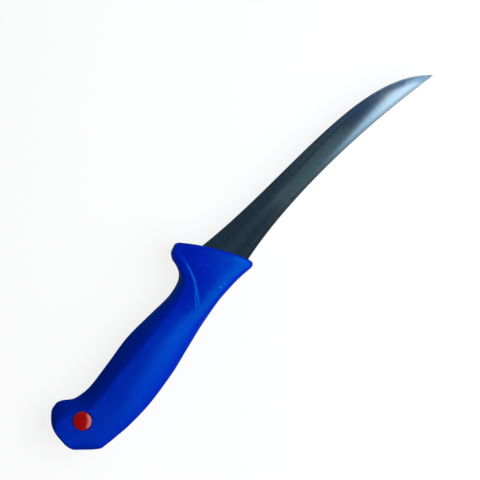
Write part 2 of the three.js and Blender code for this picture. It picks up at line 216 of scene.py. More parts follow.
def blade_ring(share, grow=0.0):
    """One section of the blade, from the spine over the upper flank to the edge and back underneath."""
    spine, edge = blade_edges(share)
    width = np.linalg.norm(edge - spine)
    across = (edge - spine) / width
    tapered = min(1.0, width / POINT_TAPER)
    thinning = tapered * (2 - tapered)
    spine_half = (STOCK + (TIP_STOCK - STOCK) * share) / 2 * thinning
    bevel = min(BEVEL_WIDTH, width / BEVEL_LIMIT)
    bevel_half = min(EDGE_STOCK / 2, EDGE_LIMIT * spine_half)
    corner = min(SPINE_ROUND, ROUND_LIMIT * spine_half)
    flank = np.linspace(corner, width - bevel, FLANK_POINTS)
    along_flank = flank / (width - bevel)
    crown = min(FLANK_CROWN, CROWN_LIMIT * width)
    flank_half = spine_half + (bevel_half - spine_half) * along_flank
    flank_half = flank_half + 4 * crown * along_flank * (1 - along_flank)
    distances = [0.0, ROUND_CUT * corner, *flank, width]
    halves = [spine_half - corner, flank_half[0] - ROUND_CUT * corner, *flank_half, EDGE_LAND]
    upper = []
    for distance, half in zip(distances, halves):
        x, y = spine + across * distance
        upper.append((x, y, half + grow))
    lower = [(x, y, -z) for x, y, z in reversed(upper)]
    return upper + lower


def blade_skin(name, grow=0.0):
    """The blade, or the space that it fills in a moulding, which is thicker by grow on each side."""
    shares = 1 - (1 - np.linspace(0, LAST_RING, BLADE_RINGS)) ** RING_CROWDING
    rings = [blade_ring(share, grow) for share in shares]
    count = len(rings[0])
    points = np.concatenate([np.array(rings).reshape(-1, 3), [(BLADE_REACH, -TIP_SWEEP, 0.0)]])
    faces = skin_faces(len(rings), count)
    half = count // 2
    for i in range(half - 1):
        faces.append((i, i + 1, count - 2 - i, count - 1 - i))
    last = (len(rings) - 1) * count
    for i in range(count):
        faces.append((last + i, last + (i + 1) % count, len(points) - 1))
    return new_piece(name, points, faces)


def plate(name, outline, half):
    """A flat plate about the plane of the knife."""
    count = len(outline)
    points = [(x, y, -half) for x, y in outline] + [(x, y, half) for x, y in outline]
    faces = skin_faces(2, count)
    faces.append(tuple(range(count)))
    faces.append(tuple(range(count, 2 * count)))
    return new_piece(name, points, faces)


def circle(x, radius, steps=48):
    """A circle about a point on the tang's centreline."""
    angles = np.arange(steps) * 2 * math.pi / steps
    return [(x + radius * math.cos(a), radius * math.sin(a)) for a in angles]


blade = blade_skin("knife_blade")
tang_outline = [
    (TANG_ROOT, -TANG_ROOT_HALF),
    (TANG_ROOT, TANG_ROOT_HALF),
    (TANG_NECK_END, TANG_HALF),
    (PLUG_X, TANG_HALF),
    (PLUG_X, -TANG_HALF),
    (TANG_NECK_END, -TANG_HALF),
]
combine(blade, plate("tang", tang_outline, STOCK / 2), "UNION")
combine(blade, plate("eye", circle(PLUG_X, PLUG_HOLE + EYE_WALL), STOCK / 2), "UNION")
combine(blade, plate("eye_hole", circle(PLUG_X, PLUG_HOLE), STOCK), "DIFFERENCE")
for hole_x in KEY_HOLES:
    combine(blade, plate("key_hole", circle(hole_x, KEY_HOLE_RADIUS), STOCK), "DIFFERENCE")
finish_shape(blade, BLADE_CREASE)


def distance_to(curve, points):
    """How far each point lies from a curve, in the plane of the knife."""
    nearest = np.full(len(points), np.inf)
    for x, y in curve:
        nearest = np.minimum(nearest, np.hypot(points[:, 0] - x, points[:, 1] - y))
    return nearest


# The grind runs across the blade, so each point keeps its place along and across it and its distance from
# spine and edge, in metres, and its share of the way from spine to edge, from -1 to 1.
midline_shares = np.linspace(0, 1, MIDLINE_POINTS)
midline_spine, midline_edge = blade_edges(midline_shares)
midline = (midline_spine + midline_edge) / 2
midline_steps = np.linalg.norm(np.diff(midline, axis=0), axis=1)
midline_length = np.concatenate([[0], np.cumsum(midline_steps)])
place = np.zeros(len(blade.data.vertices) * 3)
blade.data.vertices.foreach_get("co", place)
place = (place.reshape(-1, 3) - heel_on_centreline) / MILLIMETRE
slope = np.gradient(midline[:, 1], midline[:, 0])
offset = place[:, 1] - np.interp(place[:, 0], midline[:, 0], midline[:, 1])
foot = place[:, 0] + offset * np.interp(place[:, 0], midline[:, 0], slope)
along = np.interp(foot, midline[:, 0], midline_length) + np.minimum(foot - midline[0, 0], 0)
across_blade = place[:, 1] - np.interp(foot, midline[:, 0], midline[:, 1])
from_spine = distance_to(midline_spine, place[:, :2])
from_edge = distance_to(midline_edge, place[:, :2])
share_across = (from_spine - from_edge) / np.maximum(from_spine + from_edge, LEAST_WIDTH)
for attribute_name, values in (
    ("along_blade", along * MILLIMETRE),
    ("across_blade", across_blade * MILLIMETRE),
    ("towards_edge", share_across),
    ("from_spine", from_spine * MILLIMETRE),
    ("from_edge", from_edge * MILLIMETRE),
):
    attribute = blade.data.attributes.new(attribute_name, "FLOAT", "POINT")
    attribute.data.foreach_set("value", values.astype(np.float32))


def add_node(tree, kind, values=None, **settings):
    """A shader node with its settings, whose sockets take a plain value or a link."""
    node = tree.nodes.new(kind)
    for key, value in settings.items():
        setattr(node, key, value)
    for socket, value in (values or {}).items():
        if isinstance(value, bpy.types.NodeSocket):
            tree.links.new(value, node.inputs[socket])
        else:
            node.inputs[socket].default_value = value
    return node


def math_of(tree, operation, a, b=0.0):
    return add_node(tree, "ShaderNodeMath", {0: a, 1: b}, operation=operation).outputs[0]


def ranged(tree, value, low, high, to_low=0.0, to_high=1.0):
    """Value moved from one range to another and held inside it."""
    values = {"Value": value, "From Min": low, "From Max": high, "To Min": to_low, "To Max": to_high}
    return add_node(tree, "ShaderNodeMapRange", values).outputs[0]


def mixed(tree, share, first, second):
    """A colour between two colours."""
    values = {0: share, 6: first, 7: second}
    return add_node(tree, "ShaderNodeMix", values, data_type="RGBA").outputs[2]


def noise(tree, vector, scale, detail=2.0):
    values = {"Vector": vector, "Scale": scale, "Detail": detail}
    return add_node(tree, "ShaderNodeTexNoise", values).outputs[0]


def new_group(name, inputs, outputs):
    """An empty node group, with its input node and a function that links its outputs."""
    tree = bpy.data.node_groups.new(name, "ShaderNodeTree")
    for socket, kind, value in inputs:
        made = tree.interface.new_socket(name=socket, in_out="INPUT", socket_type=kind)
        if value is not None:
            made.default_value = value
    for socket in outputs:
        tree.interface.new_socket(name=socket, in_out="OUTPUT", socket_type="NodeSocketFloat")
    source = tree.nodes.new("NodeGroupInput")
    sink = tree.nodes.new("NodeGroupOutput")

    def put_out(**results):
        for socket, result in results.items():
            tree.links.new(result, sink.inputs[socket])

    return tree, source.outputs, put_out


def placed_group(tree, group, values):
    return add_node(tree, "ShaderNodeGroup", values, node_tree=group).outputs


# Fine scratches from use, at random angles and places: a mask that is 1 in a scratch.
scratch_group, given, put_out = new_group(
    "fine_scratches",
    [
        ("Vector", "NodeSocketVector", None),
        ("Scale", "NodeSocketFloat", 60.0),
        ("Amount", "NodeSocketFloat", 0.5),
    ],
    ["Mask"],
)
scratch_sets = []
for turn, stretch in ((0.5, 26.0), (2.1, 20.0), (-0.7, 32.0)):
    turned = add_node(
        scratch_group,
        "ShaderNodeMapping",
        {"Vector": given["Vector"], "Rotation": (0.0, 0.0, turn), "Location": (turn, stretch, 0.0)},
    ).outputs[0]
    squeezed = add_node(
        scratch_group, "ShaderNodeMapping", {"Vector": turned, "Scale": (1.0, stretch, 1.0)}
    ).outputs[0]
    lines = noise(scratch_group, squeezed, given["Scale"], 0.0)
    scratch_sets.append(ranged(scratch_group, lines, 0.80, 0.86))
widest = math_of(scratch_group, "MAXIMUM", scratch_sets[0], scratch_sets[1])
widest = math_of(scratch_group, "MAXIMUM", widest, scratch_sets[2])
put_out(Mask=math_of(scratch_group, "MULTIPLY", widest, given["Amount"]))

# Dust and tiny nicks: a mask of small scattered specks.
speck_group, given, put_out = new_group(
    "scattered_specks",
    [
        ("Vector", "NodeSocketVector", None),
        ("Scale", "NodeSocketFloat", 300.0),
        ("Size", "NodeSocketFloat", 0.1),
    ],
    ["Mask"],
)
cells = add_node(speck_group, "ShaderNodeTexVoronoi", {"Vector": given["Vector"], "Scale": given["Scale"]})
chance = add_node(speck_group, "ShaderNodeSeparateColor", {0: cells.outputs["Color"]}).outputs[0]
chosen = ranged(speck_group, chance, 0.72, 0.78)
near = math_of(speck_group, "LESS_THAN", cells.outputs["Distance"], given["Size"])
put_out(Mask=math_of(speck_group, "MULTIPLY", near, chosen))

# Smears left by hands and wiping: a slow change of gloss.
smear_group, given, put_out = new_group(
    "wiped_smears",
    [("Vector", "NodeSocketVector", None), ("Scale", "NodeSocketFloat", 40.0)],
    ["Smear"],
)
slow = noise(smear_group, given["Vector"], given["Scale"], 3.0)
put_out(Smear=ranged(smear_group, slow, 0.3, 0.7))


def new_material(name):
    material = bpy.data.materials.new(name)
    material.use_nodes = True
    tree = material.node_tree
    return material, tree, tree.nodes["Principled BSDF"]


def marks_on(tree, surface, marks):
    """A mask of single marks, from their x, y, half length, half width and turn in degrees."""
    mask = 0.0
    for mark_x, mark_y, half_length, half_width, mark_turn in marks:
        middle = heel_on_centreline + np.array([mark_x, mark_y, 0.0]) * MILLIMETRE
        values = {
            "Vector": surface,
            "Location": (middle[0], middle[1], 0.0),
            "Rotation": (0.0, 0.0, math.radians(mark_turn)),
            "Scale": (half_length * MILLIMETRE, half_width * MILLIMETRE, 1.0),
        }
        nearby = add_node(tree, "ShaderNodeMapping", values, vector_type="TEXTURE").outputs[0]
        spread = add_node(tree, "ShaderNodeVectorMath", {0: nearby}, operation="LENGTH").outputs["Value"]
        mask = math_of(tree, "MAXIMUM", mask, ranged(tree, spread, 1.0, 0.5))
    return mask


ground_steel, tree, shader = new_material("ground_steel")
along_value = add_node(tree, "ShaderNodeAttribute", attribute_name="along_blade").outputs["Fac"]
across_value = add_node(tree, "ShaderNodeAttribute", attribute_name="across_blade").outputs["Fac"]
edge_share = add_node(tree, "ShaderNodeAttribute", attribute_name="towards_edge").outputs["Fac"]
spine_distance = add_node(tree, "ShaderNodeAttribute", attribute_name="from_spine").outputs["Fac"]
edge_distance = add_node(tree, "ShaderNodeAttribute", attribute_name="from_edge").outputs["Fac"]
surface = add_node(tree, "ShaderNodeTexCoord").outputs["Object"]
grind_place = add_node(
    tree,
    "ShaderNodeCombineXYZ",
    {0: along_value, 1: math_of(tree, "MULTIPLY", across_value, GRIND_STRETCH), 2: 0.0},
).outputs[0]
fine_grind = noise(tree, grind_place, FINE_GRIND)
coarse_grind = noise(tree, grind_place, COARSE_GRIND)
fine_half = math_of(tree, "MULTIPLY", fine_grind, 0.5)
coarse_half = math_of(tree, "MULTIPLY", coarse_grind, 0.5)
grind = math_of(tree, "ADD", fine_half, coarse_half)
smear = placed_group(tree, smear_group, {"Vector": surface, "Scale": 35.0})["Smear"]
scratches = placed_group(tree, scratch_group, {"Vector": surface, "Scale": 70.0, "Amount": 0.5})["Mask"]
specks = placed_group(tree, speck_group, {"Vector": surface, "Scale": 110.0, "Size": 0.03})["Mask"]
# The coarse grind shows most near the heel, where a painted highlight lightens the middle of the blade.
coarse_strength = ranged(tree, along_value, *COARSE_RUN, *COARSE_STRENGTH)
ground = math_of(tree, "MULTIPLY", ranged(tree, coarse_grind, 0.36, 0.64), coarse_strength)
ground = math_of(tree, "ADD", ground, math_of(tree, "MULTIPLY", ranged(tree, fine_grind, 0.35, 0.65), 0.08))
middle = ranged(tree, math_of(tree, "ABSOLUTE", edge_share), 0.4, 0.05)
middle = math_of(tree, "MULTIPLY", middle, ranged(tree, along_value, *MIDDLE_HIGHLIGHT_RUN))
worn_and_lit_share = math_of(tree, "ADD", ground, math_of(tree, "MULTIPLY", middle, 0.75))
# Two grinds meet in a line from the middle towards the edge; a painted highlight lightens the steel beyond
# it.
line_place = ranged(tree, along_value, *LINE_RUN, *LINE_PLACE)
past_line = math_of(tree, "SUBTRACT", edge_share, line_place)
line_begins = ranged(tree, along_value, *LINE_STARTS)
line_ends = ranged(tree, along_value, *LINE_STOPS)
line_shown = math_of(tree, "MULTIPLY", line_begins, line_ends)
edge_side_highlight = math_of(tree, "MULTIPLY", ranged(tree, past_line, 0.0, 0.1), line_shown)
worn_and_lit_share = math_of(tree, "ADD", worn_and_lit_share, math_of(tree, "MULTIPLY", edge_side_highlight, 0.3))
beside_line = math_of(tree, "ABSOLUTE", past_line)
grind_line_shade = math_of(tree, "MULTIPLY", ranged(tree, beside_line, 0.07, 0.02), line_shown)
worn_and_lit_share = math_of(tree, "MAXIMUM", worn_and_lit_share, math_of(tree, "MAXIMUM", scratches, specks))
worn_and_lit_share = math_of(tree, "MAXIMUM", worn_and_lit_share, marks_on(tree, surface, BLADE_PITS))
# Painted shade darkens a band along the spine, fading a little at the point, and the line between the
# grinds.
spine_shade_line = ranged(tree, spine_distance, *SPINE_SHADE_BAND)
painted_shade = math_of(tree, "MULTIPLY", spine_shade_line, ranged(tree, along_value, *SPINE_SHADE_RUN, 0.4, 0.75))
painted_shade = math_of(tree, "MAXIMUM", painted_shade, math_of(tree, "MULTIPLY", grind_line_shade, 0.35))
steel_colour = mixed(tree, painted_shade, mixed(tree, worn_and_lit_share, STEEL, STEEL_WORN_AND_HIGHLIGHT), STEEL_PAINTED_SHADE)
tree.links.new(steel_colour, shader.inputs["Base Color"])
# The steel is a little smoother towards the point, and rougher beside the spine and the edge.
roughness = ranged(tree, grind, 0.3, 0.7, 0.095, 0.11)
roughness = math_of(tree, "ADD", roughness, math_of(tree, "MULTIPLY", smear, 0.01))
roughness = math_of(tree, "SUBTRACT", roughness, ranged(tree, along_value, *FINER_POLISH, 0.0, 0.011))
roughness = math_of(tree, "ADD", roughness, ranged(tree, edge_share, -0.45, -0.95, 0.0, 0.05))
roughness = math_of(tree, "ADD", roughness, ranged(tree, edge_share, 0.45, 0.6, 0.0, 0.02))
# The honed bevel scatters more light where it sweeps round to the point.
honed = ranged(tree, edge_distance, *HONED_BAND)
honed = math_of(tree, "MULTIPLY", honed, ranged(tree, along_value, *HONED_RUN, 0.0, 0.3))
roughness = math_of(tree, "ADD", roughness, honed)
roughness = math_of(tree, "MAXIMUM", roughness, math_of(tree, "MULTIPLY", specks, 0.5))
tree.links.new(roughness, shader.inputs["Roughness"])
shader.inputs["Metallic"].default_value = 1.0
bump = add_node(tree, "ShaderNodeBump", {"Height": coarse_grind, "Distance": 0.00002, "Strength": 0.12})
tree.links.new(bump.outputs[0], shader.inputs["Normal"])
blade.data.materials.append(ground_steel)

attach(blade, "root")
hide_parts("blade")

# Handle core: hard natural plastic, moulded round the tang before the cover and hidden inside it. Grooves
# round it lock the cover on, and it runs through the tang's key holes, which hold it on the steel.
COVER_WALL = 3.0
MOULD_GAP = 0.05
CORE_GROOVE = 0.8
CORE_GROOVES = 14
ROWS_PER_GROOVE = 8
CORE_POINT_STEP = 3  # the core keeps every third point of a section
SHANK_HOLE = 3.4
BORE_HALF = 12.0  # more than half the handle's thickness
FRONT_BOW = 2.0  # how far the guard's front bulges in plan
BOW_SECTIONS = 2  # sections over which the bulge fades out
GUARD_CORNER = 4.5  # the guard's corner behind the spine, in plan
HOOK_CORNER = 1.4  # the tip of the finger hook, in plan
BUTT_CORNER = 2.4
SIDE_CROWN = 0.065  # how much lower a side lies at the outline than in its middle, as a share of its width
LEAST_SHOULDER = 1.0
RIM_SHARES = (0.0, 0.01, 0.022, 0.045)  # the first points of a shoulder, close together at the outline
SHOULDER_START = 0.08  # the next point's share of the quarter turn
SHOULDER_POINTS = 26
FLAT_POINTS = 44
SECTION_SAMPLES = 4000
MOULD_CREASE = 40  # degrees
CORE_PALE = (0.64, 0.66, 0.61, 1.0)
CORE_STAIN = (0.50, 0.51, 0.45, 1.0)

# Sections of the handle from the guard to the butt: x and y of the back outline, x and y of the finger
# outline, half the thickness, then the width and the form of the back shoulder and of the finger shoulder.
# A form of 2 is an ellipse, a larger one is flatter on top, and a smaller one is more like a bevel.
HANDLE_SECTIONS = np.array(
    [
        (8.0, -14.1, -12.9, 26.5, 9.9, 16.5, 4.0, 1.5, 2.2),  # guard's front
        (3.0, -13.4, -18.6, 24.85, 10.6, 15.5, 4.0, 1.7, 2.2),  # tip of the hook
        (-2.5, -12.6, -21.0, 22.1, 10.7, 14.5, 4.2, 2.2, 2.2),  # underside of the hook
        (-8.0, -12.15, -22.7, 16.4, 10.3, 16.5, 4.5, 3.6, 2.1),  # root of the hook
        (-18.0, -12.0, -27.5, 11.7, 9.4, 14.5, 4.5, 4.6, 2.0),  # finger rest
        (-35.0, -13.7, -38.0, 9.9, 8.8, 13.2, 2.8, 6.4, 1.9),  # neck
        (-52.0, -16.6, -52.0, 10.9, 9.7, 14.0, 2.0, 8.6, 1.6),  # grip
        (-68.0, -19.45, -68.5, 11.95, 10.8, 16.5, 2.0, 10.2, 1.45),  # swell
        (-90.0, -21.2, -86.0, 10.5, 10.8, 15.0, 2.4, 9.5, 1.45),  # palm
        (-104.0, -20.6, -102.0, 9.35, 10.3, 13.0, 3.0, 8.6, 1.4),  # waist
        (-113.0, -19.4, -112.0, 11.1, 10.0, 12.5, 3.0, 10.0, 1.32),  # neck of the butt
        (-120.0, -18.25, -118.2, 15.8, 9.8, 12.0, 3.0, 10.0, 1.3),  # plug
        (-123.2, -17.6, -121.2, 17.1, 9.7, 12.0, 3.0, 9.5, 1.35),  # hook of the butt
        (-126.2, -15.3, -124.8, 16.8, 9.6, 11.0, 3.0, 8.0, 1.5),  # corner of the butt
        (-131.6, -9.55, -130.2, 13.0, 9.4, 8.0, 3.0, 4.0, 1.9),  # chamfer of the butt
        (-135.6, -5.3, -133.9, 8.6, 9.3, 3.0, 2.2, 2.0, 2.2),  # end of the butt
    ]
)
LAST_SECTION = len(HANDLE_SECTIONS) - 1


def smooth_through(values, u):
    """A curve through evenly spaced values that never overshoots its neighbours."""
    rises = np.diff(values)
    before = np.concatenate([rises[:1], rises])
    after = np.concatenate([rises, rises[-1:]])
    level = before * after <= 0
    slopes = np.where(level, 0.0, 2 * before * after / np.where(level, 1.0, before + after))
    i = np.clip(np.floor(u).astype(int), 0, len(values) - 2)
    t = u - i
    s = t - 1
    from_values = values[i] * (1 + 2 * t) * s * s + values[i + 1] * t * t * (3 - 2 * t)
    return from_values + slopes[i] * t * s * s + slopes[i + 1] * t * t * s


def handle_sizes(u):
    """The columns of HANDLE_SECTIONS at a place between sections."""
    return [smooth_through(column, u) for column in HANDLE_SECTIONS.T]


BACK, FLAT, FINGER = 0, 1, 2
shoulder = np.concatenate([RIM_SHARES, np.linspace(SHOULDER_START, 1.0, SHOULDER_POINTS)[:-1]])
around_kind = np.concatenate(
    [np.full(len(shoulder), BACK), np.full(FLAT_POINTS, FLAT), np.full(len(shoulder), FINGER)]
)
around_share = np.concatenate([shoulder, np.linspace(0, 1, FLAT_POINTS), shoulder[::-1]])
around_count = len(around_kind)


def corner_trim(depth, radius):
    """How far a rounded corner draws an outline in, at a depth behind the corner."""
    ahead = np.clip(1 - depth / radius, 0, 1)
    return radius * (1 - np.sqrt(1 - ahead**2))


def handle_points(u, kind, share, inset=0.0):
    """Points on the upper half of the handle's skin, drawn in by the inset."""
    back_x, back_y, finger_x, finger_y, half, back_round, back_power, finger_round, power = handle_sizes(u)
    first, last = HANDLE_SECTIONS[0], HANDLE_SECTIONS[-1]
    back_trim = corner_trim(first[0] - back_x, GUARD_CORNER)
    back_trim = back_trim + corner_trim(back_x - last[0], BUTT_CORNER)
    finger_trim = corner_trim(first[2] - finger_x, HOOK_CORNER)
    finger_trim = finger_trim + corner_trim(finger_x - last[2], BUTT_CORNER)
    across_x = finger_x - back_x
    across_y = finger_y - back_y
    width = np.hypot(across_x, across_y)
    across_x = across_x / width
    across_y = across_y / width
    half = half - inset
    back_width = np.maximum(back_round - inset, LEAST_SHOULDER)
    finger_width = np.maximum(finger_round - inset, LEAST_SHOULDER)
    angle = share * math.pi / 2
    sine = np.sin(angle)
    cosine = np.maximum(np.cos(angle), 0.0)
    outline_from = inset + back_trim
    outline_to = width - inset - finger_trim
    on_back = outline_from + back_width * (1 - cosine ** (2 / back_power))
    flat_from = outline_from + back_width
    flat_to = outline_to - finger_width
    on_flat = flat_from + (flat_to - flat_from) * share
    on_finger = outline_to - finger_width * (1 - cosine ** (2 / power))
    distance = np.select([kind == BACK, kind == FLAT], [on_back, on_flat], on_finger)
    rises = [sine ** (2 / back_power), np.ones_like(sine)]
    z = half * np.select([kind == BACK, kind == FLAT], rises, sine ** (2 / power))
    z = z - z / half * SIDE_CROWN * width * (2 * distance / width - 1) ** 2
    bulge = 4 * FRONT_BOW * np.maximum(1 - u / BOW_SECTIONS, 0) * distance * (width - distance) / width**2
    x = back_x + across_x * distance + across_y * bulge
    y = back_y + across_y * distance - across_x * bulge
    return np.stack([x, y, z], axis=-1)


def section_at(distance):
    """The section at a distance along the handle's middle from the guard or, if negative, the butt."""
    fine_u = np.linspace(0, LAST_SECTION, SECTION_SAMPLES)
    sizes = handle_sizes(fine_u)
    middle = (sizes[0] + sizes[2]) / 2
    reach = middle[0] - middle
    wanted = distance if distance >= 0 else reach[-1] + distance
    return float(np.interp(wanted, reach, fine_u))


def plain_row(u, inset):
    """The upper half of one section, drawn in by the inset."""
    return handle_points(np.full(around_count, u), around_kind, around_share, inset)


def core_loft(name, inset):
    """The core, or the space that it leaves in the cover, with grooves round it."""
    first_u = section_at(inset)
    last_u = section_at(-inset)
    inner_rows = []
    for share in np.linspace(0, 1, ROWS_PER_GROOVE * CORE_GROOVES + 1):
        groove = CORE_GROOVE * (1 - math.cos(2 * math.pi * CORE_GROOVES * share)) / 2
        upper = plain_row(first_u + (last_u - first_u) * share, inset + groove)
        upper = upper[CORE_POINT_STEP::CORE_POINT_STEP]
        inner_rows.append(np.concatenate([upper, upper[::-1] * np.array([1, 1, -1])]))
    count = len(inner_rows[0])
    faces = skin_faces(len(inner_rows), count)
    faces.append(tuple(range(count)))
    faces.append(tuple(range((len(inner_rows) - 1) * count, len(inner_rows) * count)))
    return new_piece(name, np.concatenate(inner_rows), faces)


core = core_loft("core_moulding", COVER_WALL + MOULD_GAP)
combine(core, blade_skin("blade_in_core", MOULD_GAP), "DIFFERENCE")
combine(core, plate("tang_in_core", tang_outline, STOCK / 2 + MOULD_GAP), "DIFFERENCE")
eye_space = circle(PLUG_X, PLUG_HOLE + EYE_WALL + MOULD_GAP)
combine(core, plate("eye_in_core", eye_space, STOCK / 2 + MOULD_GAP), "DIFFERENCE")
for hole_x in KEY_HOLES:
    combine(core, plate("key", circle(hole_x, KEY_HOLE_RADIUS - MOULD_GAP), STOCK), "UNION")
combine(core, plate("plug_bore", circle(PLUG_X, SHANK_HOLE), BORE_HALF), "DIFFERENCE")
finish_shape(core, MOULD_CREASE)

# The fine texture of a moulded surface: a height for its grain, and a slow mottle of its colour.
grain_group, given, put_out = new_group(
    "moulded_grain",
    [
        ("Vector", "NodeSocketVector", None),
        ("Grain", "NodeSocketFloat", 3500.0),
        ("Mottle", "NodeSocketFloat", 120.0),
    ],
    ["Height", "Tone"],
)
fine = noise(grain_group, given["Vector"], given["Grain"])
pits = add_node(
    grain_group,
    "ShaderNodeTexVoronoi",
    {"Vector": given["Vector"], "Scale": math_of(grain_group, "MULTIPLY", given["Grain"], 0.6)},
).outputs["Distance"]
fine_height = math_of(grain_group, "MULTIPLY", fine, 0.7)
pit_height = math_of(grain_group, "MULTIPLY", pits, 0.3)
mottle = noise(grain_group, given["Vector"], given["Mottle"], 4.0)
put_out(
    Height=math_of(grain_group, "ADD", fine_height, pit_height),
    Tone=ranged(grain_group, mottle, 0.3, 0.7),
)

core_plastic, tree, shader = new_material("core_plastic")
surface = add_node(tree, "ShaderNodeTexCoord").outputs["Object"]
grain = placed_group(tree, grain_group, {"Vector": surface, "Grain": 1800.0, "Mottle": 160.0})
tree.links.new(mixed(tree, grain["Tone"], CORE_PALE, CORE_STAIN), shader.inputs["Base Color"])
tree.links.new(ranged(tree, grain["Tone"], 0.0, 1.0, 0.5, 0.68), shader.inputs["Roughness"])
bump = add_node(tree, "ShaderNodeBump", {"Height": grain["Height"], "Distance": 0.00005, "Strength": 0.4})
tree.links.new(bump.outputs[0], shader.inputs["Normal"])
core.data.materials.append(core_plastic)

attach(core, "root")
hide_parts("handle_core")

# Handle cover: saturated blue plastic, moulded over the core in one shot, with a hooked finger guard in
# front, a swell for the palm and a hooked butt. A shallow step in the moulding bounds its side panel.
FRONT_ROUND = 1.2  # rounding of the front face's rim
BUTT_ROUND = 1.3
PANEL_DROP = 0.7  # how far the guard's side panel lies below the grip's surface
PANEL_TILT = 0.035  # slope of the panel towards the front
PANEL_TILT_REACH = 18.0
PARTING_BEAD = 0.05  # height of the mould's parting line round the outline
STEP_SAMPLES = 600
BEYOND_STEP = 9.0  # a section that lies well behind the step
HALVINGS = 40
FRONT_ROWS = 24
GRIP_ROWS = 200
ROW_GAP = 0.0006  # least gap between rows, in sections
ROW_SQUEEZE = 1e-6  # share of their gap that rows held back at the butt keep
ROUND_STEPS = 9
SLOT_GAP = 0.03
SEAT_RADIUS = 5.3
SEAT_FLARE = 0.25
SEAT_DEPTH = 0.95
SEAT_CLEAR = 1.0  # how far the cut for a seat reaches above the surface
PLUG_HALF = 9.8  # half the handle's thickness at the plug
BLUE = (0.0008, 0.0135, 0.42, 1.0)
BLUE_DEEP = (0.0006, 0.011, 0.385, 1.0)
BLUE_RUBBED = (0.03, 0.22, 0.72, 1.0)
BLUE_SHEEN = (0.0, 58.0, 90.0, 1.0)  # tint of the reflections, strong because the next value is small
BLUE_SPECULAR = 0.004
MATT_BEHIND = 85.0  # further behind the heel line than this, the plastic is at its roughest
POLISHED_BEFORE = 30.0  # and nearer than this, it is at its smoothest
BUTT_ROUGHNESS = 0.58
GUARD_ROUGHNESS = 0.29

# Small marks of use on the guard: x, y, half the length, half the width, and turn in degrees
GUARD_NICKS = (
    (-8.15, -6.85, 0.35, 0.2, 60.0),
    (-11.9, -8.5, 0.45, 0.2, 20.0),
    (-14.8, -8.05, 1.4, 0.18, 91.0),
)

# The step round the side panel, from beyond the back outline to beyond the hook
PANEL_EDGE = np.array(
    [
        (-47.6, -22.3),
        (-36.6, -12.5),
        (-28.4, -4.0),
        (-22.9, 2.9),
        (-18.7, 11.4),
        (-15.9, 22.0),
        (-12.5, 34.0),
    ]
)

# Distances ahead of the step at which rows of points follow it
STEP_ROWS = (4.0, 3.0, 2.3, 1.8, 1.4, *np.arange(1.1, -2.7, -0.16), -3.2, -4.0, -5.0)

# Along the step, each at a y: half its width, and the distance between the two steps that it splits into
STEP_SOFTNESS = ((-14, 0.42), (-4, 0.5), (6, 0.8), (12, 1.1), (20, 1.7))
STEP_SPLIT = ((-12.5, 0.7), (-9, 1.45), (-4.5, 1.7), (0, 1.1), (4, 0.0))
STEP_FADES_IN = (-13.0, -8.5)  # y at the back
STEP_FADES_OUT = (20.0, 27.0)  # y at the hook


def step_curve(y):
    """x of the panel's step, and its slope, at a distance y from the tang's centreline."""
    fine_rank = np.linspace(0, len(PANEL_EDGE) - 1, STEP_SAMPLES)
    fine_x = smooth_through(PANEL_EDGE[:, 0], fine_rank)
    fine_y = smooth_through(PANEL_EDGE[:, 1], fine_rank)
    return np.interp(y, fine_y, fine_x), np.interp(y, fine_y, np.gradient(fine_x, fine_y))


def ahead_of_step(points):
    """Distance of a point ahead of the panel's step, negative behind it."""
    x, slope_there = step_curve(points[..., 1])
    return (points[..., 0] - x) / np.sqrt(1 + slope_there**2)


def eased(value, low, high):
    """0 below low and 1 above high, with a smooth rise between them."""
    t = np.clip((value - low) / (high - low), 0, 1)
    return t * t * (3 - 2 * t)


def sink_panel(points, half):
    """Lowers the side panel below the grip. The step is soft at the hook, sharp in the middle, and splits
    into two fine steps towards the back, where it fades out."""
    ahead = ahead_of_step(points)
    y = points[..., 1]
    ramp = np.interp(y, *np.transpose(STEP_SOFTNESS))
    split = np.interp(y, *np.transpose(STEP_SPLIT))
    depth = PANEL_DROP * eased(y, *STEP_FADES_IN) * (1 - eased(y, *STEP_FADES_OUT))
    raised = np.clip(np.abs(points[..., 2]) / half, 0, 1) ** 2
    first = eased(ahead, -ramp, ramp)
    second = eased(ahead + split, -ramp, ramp)
    sunk = points.copy()
    tilt = PANEL_TILT * np.clip(ahead, 0, PANEL_TILT_REACH)
    sunk[..., 2] = points[..., 2] - raised * (depth * (first + second) / 2 + tilt)
    return sunk


front_u = section_at(FRONT_ROUND)
butt_u = section_at(-BUTT_ROUND)


def crossing(distance):
    """The section, for each point around, that lies the given distance ahead of the panel's step."""
    low = np.full(around_count, front_u)
    high = np.full(around_count, BEYOND_STEP)
    for _ in range(HALVINGS):
        middle = (low + high) / 2
        past = ahead_of_step(handle_points(middle, around_kind, around_share)) > distance
        low = np.where(past, middle, low)
        high = np.where(past, high, middle)
    return (low + high) / 2


near_step = [crossing(distance) for distance in STEP_ROWS]
rows = []
for i in range(FRONT_ROWS):
    rows.append(front_u + (near_step[0] - front_u) * i / FRONT_ROWS)
rows.extend(near_step)
for i in range(1, GRIP_ROWS + 1):
    rows.append(near_step[-1] + (butt_u - near_step[-1]) * i / GRIP_ROWS)
rows = np.array(rows)
for i in range(1, len(rows)):
    rows[i] = np.maximum(rows[i], rows[i - 1] + ROW_GAP)
rows = np.minimum(rows, butt_u + (rows - rows[-1]) * ROW_SQUEEZE)

rounding = []
for i in range(ROUND_STEPS):
    angle = math.pi / 2 * i / ROUND_STEPS
    rounding.append((1 - math.sin(angle), 1 - math.cos(angle)))

